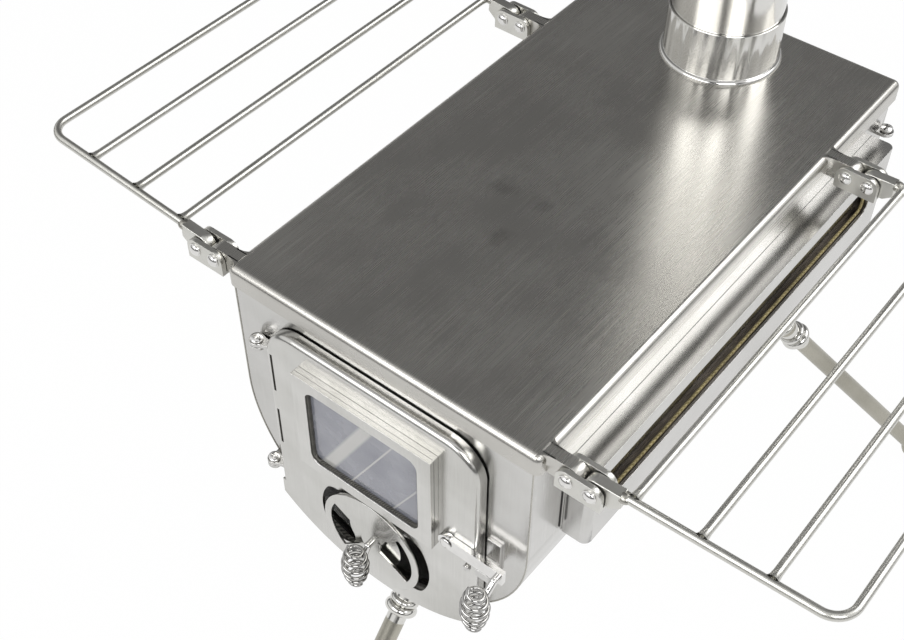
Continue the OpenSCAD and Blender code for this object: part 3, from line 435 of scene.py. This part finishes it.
def pane_material(name, tint, clear, painted_reflections=()):
    """A filmed pane, with painted reflections as pale streaks, each at a place, of a width and of a
    strength.
    """
    material, tree, surface, spot = new_material(name)
    film = stretched(tree, spot, (25, 25, 18), detail=4.0)
    rough = spread(tree, film, 0.015, 0.09, start=0.3, end=0.8)
    tree.links.new(rough, surface.inputs["Roughness"])
    colour = ramp(tree, film, (0.3, shade(tint)), (0.8, shade("#c6c7cf")))
    # painted reflections: pale slanted lines mixed into the pane's colour, standing for mirrored
    # light
    for start, width, light in painted_reflections:
        parts = add_node(tree, "ShaderNodeSeparateXYZ", {"Vector": spot}).outputs
        slant = sum_of(tree, parts["X"], sum_of(tree, parts["Z"], -reflection_lean, "MULTIPLY"))
        middle = (start - reflection_lean * door_pane_z) * MM
        away = sum_of(tree, sum_of(tree, slant, middle, "SUBTRACT"), 0.0, "ABSOLUTE")
        line = spread(tree, away, light, 0.0, start=width * 0.6 * MM, end=width * MM)
        colour = blend_colour(tree, line, colour, shade("#f4f3ee"))
    tree.links.new(colour, surface.inputs["Base Color"])
    surface.inputs["Transmission Weight"].default_value = clear
    surface.inputs["IOR"].default_value = 1.52
    return material


# the door's pane: clear, with the pale film that smoke leaves, and three painted reflections as
# pale streaks
door_pane = pane_material(
    "filmed_glass_with_painted_reflections", "#a9abb6", 0.62,
    painted_reflections=((-13.2, 6.5, 0.85), (9.0, 0.9, 0.8), (46.0, 0.9, 0.7)),
)
# the side pane: browned by the fire behind it
side_pane = pane_material("smoked_glass_ceramic", "#7d7263", 0.95)
print("panes:", door_pane.name, side_pane.name)

# %% [markdown]
# ## Rope gaskets
#
# The panes and the door close on cords of braided glass fibre. Their strands run at a slant,
# about 2 mm apart, and they are dull and a little stained: yellow brown at the side window and
# dark grey at the door.


# %% Braided glass fibre
def braid(name, dark, light, strand_mm):
    """Slanted strands, raised a little and stained."""
    material, tree, surface, spot = new_material(name)
    slanted = {"Vector": spot, "Rotation": (0.6, 0.7, 0.7)}
    turned = add_node(tree, "ShaderNodeMapping", slanted).outputs["Vector"]
    wave = add_node(
        tree,
        "ShaderNodeTexWave",
        {"Vector": turned, "Scale": 0.5 / (strand_mm * MM), "Distortion": 1.5,
         "Detail": 2.0, "Detail Scale": 2.0},
    ).outputs["Fac"]
    stain = stretched(tree, spot, (9, 9, 9), detail=4.0)
    colour = ramp(tree, wave, (0.15, shade(dark)), (0.8, shade(light)))
    dirty = ramp(tree, stain, (0.35, 0.55), (0.65, 1.0))
    tree.links.new(blend_colour(tree, 1.0, colour, dirty, "MULTIPLY"), surface.inputs["Base Color"])
    surface.inputs["Roughness"].default_value = 0.85
    raised = add_node(
        tree, "ShaderNodeBump", {"Height": wave, "Strength": 0.7, "Distance": 0.4 * MM}
    )
    tree.links.new(raised.outputs["Normal"], surface.inputs["Normal"])
    return material


# the side window's cord: glass fibre, tanned by heat
side_rope = braid("tan_glass_fibre_rope", "#857749", "#bdb084", 1.6)
# the door's seals: graphite grey glass fibre
door_rope = braid("grey_glass_fibre_rope", "#262522", "#6b6963", 1.8)
print("ropes:", side_rope.name, door_rope.name)

# %% [markdown]
# ## The solids' finishes
#
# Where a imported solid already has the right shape, it keeps it. Its loose triangles are welded
# by a modifier and its sharp edges are eased by a fine bevel, so that they catch the light.

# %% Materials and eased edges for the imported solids
# the first row whose start fits a node's name says its finish
finishes = (
    (("top_plate", "ear_"), top_steel),
    (("fire_grate",), grate_steel),
    (("window_glass",), side_pane),
    (("door_glass_gasket", "door_seal"), door_rope),
    (("door_glass",), door_pane),
    # the side window's bed: dark brown painted shade of its slot
    (("window_gasket",), window_bed_shade_steel),
    (("door_panel", "door_bezel", "damper_disc"), door_steel),
    (("chimney_pipe", "flue_collar"), pipe_steel),
    (("leg_socket", "shelf_", "tongue_", "link_"), rod_steel),
    (("leg_", "foot_"), tube_steel),
    (("latch_catch",), sheet_steel),
    (("damper_", "latch_", "hinge_screw", "window_bolts", "rear_tab_screw"), bright_steel),
)
# these are round already or are drawn again below, so their edges stay as imported
kept_edges = (
    "top_plate", "damper_spring", "latch_spring", "window_gasket", "damper_rod", "latch_rod",
    "fire_grate", "chimney_pipe", "shelf_", "leg_", "foot_",
)
for name, node in nodes.items():
    node.data.materials.clear()
    fitting = [finish for starts, finish in finishes if name.startswith(starts)]
    node.data.materials.append(fitting[0] if fitting else sheet_steel)
    if name.startswith(kept_edges):
        continue
    width = 0.7 if name.startswith(("ear_", "link_", "tongue_")) else 0.35
    weld = node.modifiers.new("join_triangles", "WELD")
    weld.merge_threshold = 0.002 * MM
    flat = node.modifiers.new("join_flat_faces", "DECIMATE")
    flat.decimate_type = "DISSOLVE"
    flat.angle_limit = math.radians(0.4)
    edge = node.modifiers.new("eased_edges", "BEVEL")
    edge.width = width * MM
    edge.segments = 2
    edge.limit_method = "ANGLE"
    edge.angle_limit = math.radians(38)
    edge.harden_normals = True
print("solids with a finish:", len(nodes))

# %% [markdown]
# ## Spring handles
#
# The latch and the damper are worked by coils of polished spring wire, which stay cool enough
# to touch. A coil is a wire of 2.8 mm that runs round a barrel shape, 18 mm wide at its middle.
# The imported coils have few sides, so each is drawn again as a smooth wire along the same line.


# %% Smooth spring wire
def tube_along(name, points, radius_mm, sides=14):
    """A round wire through points in millimetres, as a mesh with closed ends."""
    nothing_selected()
    bpy.ops.curve.primitive_nurbs_path_add(location=(0, 0, 0))
    wire = named(name)
    wire.data.splines.clear()
    spline = wire.data.splines.new("POLY")
    spline.points.add(len(points) - 1)
    for point, place_mm in zip(spline.points, points):
        point.co = (*mm(*place_mm), 1)
    wire.data.dimensions = "3D"
    wire.data.bevel_depth = radius_mm * MM
    wire.data.bevel_resolution = max(0, sides // 2 - 2)
    wire.data.use_fill_caps = True
    only(wire)
    bpy.ops.object.convert(target="MESH")
    bpy.ops.object.shade_smooth_by_angle(angle=math.radians(50))
    return bpy.context.object


def coil_points(middle, steps=260, curls=5.5, end_r=4.6, mid_r=9.0, length=40.0):
    """The line of a barrel coil whose axis stands upright."""
    points = []
    for step in range(steps + 1):
        share = step / steps
        turned = math.radians(90 - 180 * curls + 360 * curls * share)
        radius = end_r + (mid_r - end_r) * math.sin(math.pi * share)
        points.append((
            middle[0] + radius * math.cos(turned),
            middle[1] + radius * math.sin(turned),
            middle[2] + length * (0.5 - share),
        ))
    return points


spring_wire_r = 1.4
latch_wire = tube_along("latch_spring_wire", coil_points((111.45, -255.901, 373.0)), spring_wire_r)
damper_wire = tube_along("damper_spring_wire", coil_points((0.0, -250.351, 308.5)), spring_wire_r)
print("coils:", len(latch_wire.data.vertices), "points each")
place(latch_wire, "latch", "polished_stainless", spring_steel, "latch_spring")
place(damper_wire, "damper", "polished_stainless", spring_steel, "damper_spring")

# %% [markdown]
# ## Welds
#
# Thin sheet and rod are joined with the TIG torch. On this stove the welds show in four places:
# a row of small ripples where the end plates meet the bent wrap, a hollow fillet on both sides
# of each ear, a small lump where a tongue takes its rod, and a flare at each end of a shelf's
# long rods.


# %% Copies and seams
def copy_moved(piece, name, shift_mm=(0, 0, 0), mirrored=False):
    """A copy with its own mesh, moved and, if asked, mirrored to the other side."""
    only(piece)
    bpy.ops.object.duplicate(linked=False)
    copy = named(name)
    if mirrored:
        bpy.ops.transform.resize(value=(-1, 1, 1), center_override=(0, 0, 0))
    bpy.ops.transform.translate(value=mm(*shift_mm))
    settle(copy)
    if mirrored:
        outward(copy)
    return copy


def body_edge(y, radius=124.0, middle=395.0, top=487.0, steps=48):
    """The edge of an end plate: down one side, round the bottom and up the other side."""
    turns = [math.pi * i / steps for i in range(steps + 1)]
    arc = [(-radius * math.cos(turn), y, middle - radius * math.sin(turn)) for turn in turns]
    return [(-radius, y, top), *arc, (radius, y, top)]


seam_r = 0.55
front_seam = tube_along("front_seam", body_edge(-218.056), seam_r, sides=8)
rear_seam = tube_along("rear_seam", body_edge(243.444), seam_r, sides=8)
for seam in (front_seam, rear_seam):
    place(seam, "stove", "satin_stainless", bead_steel)
print("end plate seams:", len(front_seam.data.vertices), "points each")

# %% [markdown]
# Each ear stands on the top plate's edge, and a hollow weld fills the corner on both of its
# sides. One fillet is a small block with a round hollow cut from it. The others are copies.

# %% Ear fillets
front_y, rear_y = -207.501, 134.499  # the rows of the ears
step_back = rear_y - front_y
half_ear = 4.7
fillet_z = cook_top_z - 4.5
nothing_selected()
bpy.ops.mesh.primitive_cube_add(size=1, location=mm(129.25, front_y + half_ear + 2.5, fillet_z))
bpy.ops.transform.resize(value=mm(10.5, 7.0, 9.0))
fillet = named("ear_fillet_right_front_b")
settle(fillet)
bpy.ops.mesh.primitive_cylinder_add(
    vertices=96, radius=1, depth=1, location=mm(134.5, front_y + half_ear + 6.0, fillet_z)
)
bpy.ops.transform.resize(value=mm(10.5, 6.0, 12))
cutter = named("fillet_cutter")
only(fillet)
cut = fillet.modifiers.new("hollow", "BOOLEAN")
cut.object = cutter
cut.operation = "DIFFERENCE"
apply_modifiers(fillet)
only(cutter)
bpy.ops.object.delete()
soften(fillet, 1.4, segments=4, angle=50)
print("fillet faces:", len(fillet.data.polygons))

only(fillet)
bpy.ops.object.duplicate(linked=False)
fillet_front = named("ear_fillet_right_front_a")
bpy.ops.transform.resize(value=(1, -1, 1), center_override=mm(0, front_y, 0))
settle(fillet_front)
outward(fillet_front)
fillets = [fillet, fillet_front]
for piece, mark in ((fillet, "b"), (fillet_front, "a")):
    rear = copy_moved(piece, "ear_fillet_right_rear_" + mark, (0, step_back, 0))
    fillets.append(rear)
    fillets.append(copy_moved(piece, "ear_fillet_left_front_" + mark, mirrored=True))
    fillets.append(copy_moved(rear, "ear_fillet_left_rear_" + mark, mirrored=True))
for piece in fillets:
    place(piece, "stove", "dark_stainless", top_steel)
print("ear fillets:", len(fillets))


# %% [markdown]
# ## Shelves
#
# A shelf is one rod of 6 mm bent round three sides, and three long rods welded across it. It
# rises a little outwards from its hinges, the left one more than the right one. Places on it
# are given by their length along the shelf from the rivet of its tongues.

# %% Shelf rods and their welds
rivet_x, rivet_z = 162.1, 496.8
tongue_r, rod_r = 8.2, 3.0
tilts = {"right": 2.5, "left": 4.5}
sides = (("right", 1), ("left", -1))
shelf_start, shelf_end, corner_r = 18.0, 156.9, 15
long_rods = (23.4, 67.9, 112.4)


def on_shelf(along, tilt, side):
    """A place on a shelf's rods, at a length from the tongue's rivet, as x and z."""
    rise = tongue_r - rod_r
    turned = math.radians(tilt)
    x = rivet_x + along * math.cos(turned) - rise * math.sin(turned)
    z = rivet_z + along * math.sin(turned) + rise * math.cos(turned)
    return side * x, z


def rod_flare(name, x, z):
    """The flares at both ends of one long rod: two short tapers in a row at each end."""
    parts = []
    for row_y, way in ((front_y, 1), (rear_y, -1)):
        for start, length, wide, slim in ((1.6, 2.4, 4.5, 3.45), (4.0, 4.0, 3.45, 3.04)):
            nothing_selected()
            bpy.ops.mesh.primitive_cone_add(
                vertices=28, radius1=wide * MM, radius2=slim * MM, depth=length * MM,
                location=mm(x, row_y + way * (start + length / 2), z),
                rotation=(-way * math.pi / 2, 0, 0), end_fill_type="NOTHING",
            )
            parts.append(bpy.context.object)
    flare = settle(joined(parts, name))
    bpy.ops.object.mode_set(mode="EDIT")
    bpy.ops.mesh.select_all(action="SELECT")
    bpy.ops.mesh.remove_doubles(threshold=0.02 * MM)
    bpy.ops.object.mode_set(mode="OBJECT")
    bpy.ops.object.shade_smooth()
    return flare


def shelf_rods(side_name, side):
    """A shelf's bent outer rod and its three long rods, as smooth round wires."""
    tilt = tilts[side_name]
    line = [(shelf_start, front_y)]
    for row_y, way, first in ((front_y, 1, 270), (rear_y, -1, 0)):
        for i in range(13):
            turned = math.radians(first + 90 * i / 12)
            along = shelf_end - corner_r + corner_r * math.cos(turned)
            line.append((along, row_y + way * corner_r + corner_r * math.sin(turned)))
    line.append((shelf_start, rear_y))
    lines = [line] + [[(along, front_y), (along, rear_y)] for along in long_rods]
    rods = []
    for number, flat in enumerate(lines):
        points = [(*on_shelf(along, tilt, side), y) for along, y in flat]
        points = [(x, y, z) for x, z, y in points]
        rods.append(tube_along(f"rod_{side_name}_{number}", points, rod_r, 24))
    return joined(rods, "shelf_rods_" + side_name)


for side_name, side in sides:
    shelf = shelf_rods(side_name, side)
    place(shelf, side_name + "_shelf", "satin_stainless", rod_steel, "shelf_" + side_name)
print("shelf rods in place")

first_x, first_z = on_shelf(long_rods[0], tilts["right"], 1)
first_flare = rod_flare("rod_weld_right_0", first_x, first_z)
for side_name, side in sides:
    for number, along in enumerate(long_rods):
        x, z = on_shelf(along, tilts[side_name], side)
        name = f"rod_weld_{side_name}_{number}"
        shift = (x - first_x, 0, z - first_z)
        flare = first_flare if name == first_flare.name else copy_moved(first_flare, name, shift)
        place(flare, side_name + "_shelf", "satin_stainless", rod_steel)
print("rod welds:", len(sides) * len(long_rods))

# %% [markdown]
# A tongue takes the end of the outer rod, and a lump of weld covers the joint.

# %% Tongue welds
nothing_selected()
lump_at = 18.6
x, z = on_shelf(lump_at, tilts["right"], 1)
bpy.ops.mesh.primitive_ico_sphere_add(
    subdivisions=4, radius=4.3 * MM, location=mm(x, front_y, z - 0.2)
)
bpy.ops.transform.resize(value=(1.15, 1.05, 0.82))
lump = named("tongue_weld_right_front")
bpy.ops.object.shade_smooth()
settle(lump)
left_x, left_z = on_shelf(lump_at, tilts["left"], -1)
for name, shift, body in (
    ("tongue_weld_right_rear", (0, step_back, 0), "right_shelf"),
    ("tongue_weld_left_front", (left_x - x, 0, left_z - z), "left_shelf"),
    ("tongue_weld_left_rear", (left_x - x, step_back, left_z - z), "left_shelf"),
):
    place(copy_moved(lump, name, shift), body, "satin_stainless", bead_steel)
place(lump, "right_shelf", "satin_stainless", bead_steel)
print("tongue welds: 4")

# %% [markdown]
# ## Rivet heads
#
# Two rivets join each ear, link and tongue. Their heads are polished domes, about 9 mm wide,
# with a thin step where the rivet set has pressed the rim.

# %% Domed heads on the links
ear_x = 145.1
rivet_step = 17.0  # between a link's two rivets
link_width = 17.8  # over both of a link's cheeks
nothing_selected()
bpy.ops.mesh.primitive_uv_sphere_add(
    segments=40, ring_count=20, radius=1, location=mm(ear_x, front_y - 8.9, rivet_z),
    rotation=(math.pi / 2, 0, 0),
)
bpy.ops.transform.resize(value=mm(4.5, 2.9, 4.5))
head = named("rivet_head_right_front_0_a")
bpy.ops.object.shade_smooth()
settle(head)
nothing_selected()
bpy.ops.mesh.primitive_cylinder_add(
    vertices=48, radius=5.0 * MM, depth=1.1 * MM,
    location=mm(ear_x, front_y - 9.0, rivet_z), rotation=(math.pi / 2, 0, 0),
)
rim = named("rivet_rim")
soften(rim, 0.35, segments=2)
head = settle(joined([head, rim], head.name))
count = 0
for side_name, side in sides:
    for row, back in (("front", 0.0), ("rear", step_back)):
        for number, out in enumerate((0.0, rivet_step)):
            for mark, face in (("a", 0.0), ("b", link_width)):
                shift = (out if side > 0 else -2 * ear_x - out, back + face, 0)
                name = f"rivet_head_{side_name}_{row}_{number}_{mark}"
                twin = head if name == head.name else copy_moved(head, name, shift)
                place(twin, side_name + "_links", "polished_stainless", bright_steel)
                count += 1
print("rivet heads:", count)

# %% [markdown]
# ## Fine lines
#
# Folded sheet shows where its edges meet: hair lines along the bezel's rim, and one narrow cut
# in the right wall just ahead of the window box. They are open joints, so they look black.

# %% Dark joints
open_joint, tree, surface, spot = new_material("open_joint_between_sheets")
soot = stretched(tree, spot, (3, 3, 3))
black = ramp(tree, soot, (0.3, shade("#0d0c0b")), (0.7, shade("#1e1c1a")))
tree.links.new(black, surface.inputs["Base Color"])
surface.inputs["Roughness"].default_value = 0.8
bezel_joint_y, wall_cut_y = -232.906, -183.806
joint_lines = {
    "bezel_joint_top": (
        "door", [(-58.5, bezel_joint_y, 462.5), (58.5, bezel_joint_y, 462.5)], 0.12
    ),
    "bezel_joint_right": (
        "door", [(59.5, bezel_joint_y, 461.5), (59.5, bezel_joint_y, 369.0)], 0.12
    ),
    "wall_cut": ("stove", [(124.5, wall_cut_y, 455.0), (124.5, wall_cut_y, 396.0)], 0.75),
}
for name, (body, line, radius) in joint_lines.items():
    place(tube_along(name, line, radius, sides=8), body, "satin_stainless", open_joint)
print("joints:", ", ".join(joint_lines))

# %% [markdown]
# ## The side window's cord
#
# The long pane is bedded on a cord of braided glass fibre. Only a thin strip of it shows between
# the pane and the opening's edge, yellow brown from heat.


# %% Cord round the long window
def rounded_loop(x, middle_y, middle_z, length, height, radius, steps=8):
    """A rectangle with round corners in the plane of the right wall, as a closed line."""
    points = []
    for turn, (j, k) in enumerate(((1, 1), (-1, 1), (-1, -1), (1, -1))):
        for i in range(steps + 1):
            angle = math.pi / 2 * (turn + i / steps)
            y = middle_y + j * (length / 2 - radius) + radius * math.cos(angle)
            z = middle_z + k * (height / 2 - radius) + radius * math.sin(angle)
            points.append((x, y, z))
    return points + points[:1]


cord_line = rounded_loop(140.4, 12.199, 431.0, 366.0, 33.2, 6.6)
cord = tube_along("window_cord", cord_line, 1.3, sides=10)
place(cord, "stove", "rope_gasket", side_rope)
print("cord points:", len(cord.data.vertices))

# %% [markdown]
# ## The studio
#
# A product like this is photographed on a white cove. The floor is a plain pale sheet, which
# the camera sees almost white, and the stove still throws a soft shadow on it. Bare metal
# shows mostly what it mirrors: white low down all round, and a grey ceiling high up, which is
# why the flat top looks so much darker than the door.

# %% Floor
floor_size = 6.0
nothing_selected()
bpy.ops.mesh.primitive_plane_add(size=floor_size, location=(0, 0, 0))
floor = named("studio_floor")
floor_paper, tree, surface, spot = new_material("pale_paper_floor")
surface.inputs["Base Color"].default_value = shade("#efefee")
surface.inputs["Roughness"].default_value = 0.9
rays = add_node(tree, "ShaderNodeLightPath")
glossy, through = rays.outputs["Is Glossy Ray"], rays.outputs["Is Transmission Ray"]
seen = sum_of(tree, rays.outputs["Is Camera Ray"], 0.98, "MULTIPLY")
mirrored = sum_of(tree, sum_of(tree, glossy, through, "MAXIMUM"), 0.72, "MULTIPLY")
share = sum_of(tree, seen, mirrored, "MAXIMUM")
white = add_node(tree, "ShaderNodeEmission", {"Color": (1, 1, 1, 1), "Strength": 1.0})
ends = {0: share, 1: surface.outputs["BSDF"], 2: white.outputs["Emission"]}
mixed = add_node(tree, "ShaderNodeMixShader", ends).outputs["Shader"]
add_node(tree, "ShaderNodeOutputMaterial", {"Surface": mixed}, is_active_output=True)
floor.data.materials.append(floor_paper)
print("floor:", floor_size, "m")

# %% [markdown]
# The room is white to the camera. In what the metal mirrors, it has a grey patch high up behind
# the stove, another above the camera, and a darker band along the horizon.

# %% World
world = bpy.data.worlds.new("white_cove")
bpy.context.scene.world = world
world.use_nodes = True
tree = world.node_tree
tree.nodes.clear()
direction = add_node(tree, "ShaderNodeTexCoord").outputs["Generated"]
parts = add_node(tree, "ShaderNodeSeparateXYZ", {"Vector": direction})
dark_way = (-0.40, 0.63, 0.67)
camera_way = (0.50, -0.55, 0.67)


def turned_to(way):
    """How nearly a direction points along another, 1 where it does."""
    ends = {0: direction, 1: way}
    return add_node(tree, "ShaderNodeVectorMath", ends, operation="DOT_PRODUCT").outputs["Value"]


cove = ramp(tree, turned_to(dark_way), (0.62, 1.0), (0.80, 0.48), (0.91, 0.23), (1.0, 0.185))
behind = ramp(tree, turned_to(camera_way), (0.76, 1.0), (0.88, 0.14), (1.0, 0.10))
cove = blend_colour(tree, 1.0, cove, behind, "MULTIPLY")
level = spread(tree, parts.outputs["Z"], 0.0, 1.0, start=-0.3, end=0.3)
edge = ramp(tree, level, (0.20, 1.0), (0.28, 0.2), (0.70, 0.2), (0.80, 1.0))
cove = blend_colour(tree, 1.0, cove, edge, "MULTIPLY")
rays = add_node(tree, "ShaderNodeLightPath")
cove = blend_colour(tree, rays.outputs["Is Camera Ray"], cove, (1, 1, 1, 1))
fill = add_node(tree, "ShaderNodeBackground", {"Color": (1, 1, 1, 1), "Strength": 0.55})
backdrop = add_node(tree, "ShaderNodeBackground", {"Color": cove, "Strength": 1.0})
seen = sum_of(tree, rays.outputs["Is Camera Ray"], rays.outputs["Is Glossy Ray"], "MAXIMUM")
seen = sum_of(tree, seen, rays.outputs["Is Transmission Ray"], "MAXIMUM")
ends = {0: seen, 1: fill.outputs["Background"], 2: backdrop.outputs["Background"]}
mixed = add_node(tree, "ShaderNodeMixShader", ends).outputs["Shader"]
add_node(tree, "ShaderNodeOutputWorld", {"Surface": mixed})
print("world:", world.name)

# %% [markdown]
# Three wide softboxes light the stove from above: one at the front right, one straight ahead of
# the door and one at the back right.


# %% Lamps
def softbox(name, spot_mm, aim_mm, width_mm, depth_mm, watts):
    """A wide area lamp at a place, turned to the spot it aims at."""
    nothing_selected()
    bpy.ops.object.light_add(type="AREA", location=mm(*spot_mm))
    lamp = bpy.context.object
    lamp.name = name
    lamp.data.shape = "RECTANGLE"
    lamp.data.size = width_mm * MM
    lamp.data.size_y = depth_mm * MM
    lamp.data.energy = watts
    way = Vector(mm(*aim_mm)) - Vector(mm(*spot_mm))
    lamp.rotation_euler = way.to_track_quat("-Z", "Y").to_euler()
    return lamp


softbox("key_softbox", (1700, -1300, 2200), (0, 0, 350), 1300, 1300, 30)
softbox("front_softbox", (-300, -1650, 1850), (0, -220, 480), 1700, 900, 20)
softbox("side_softbox", (1050, 1150, 2000), (130, 0, 480), 1500, 1100, 16)
bpy.context.scene.view_settings.view_transform = "Standard"
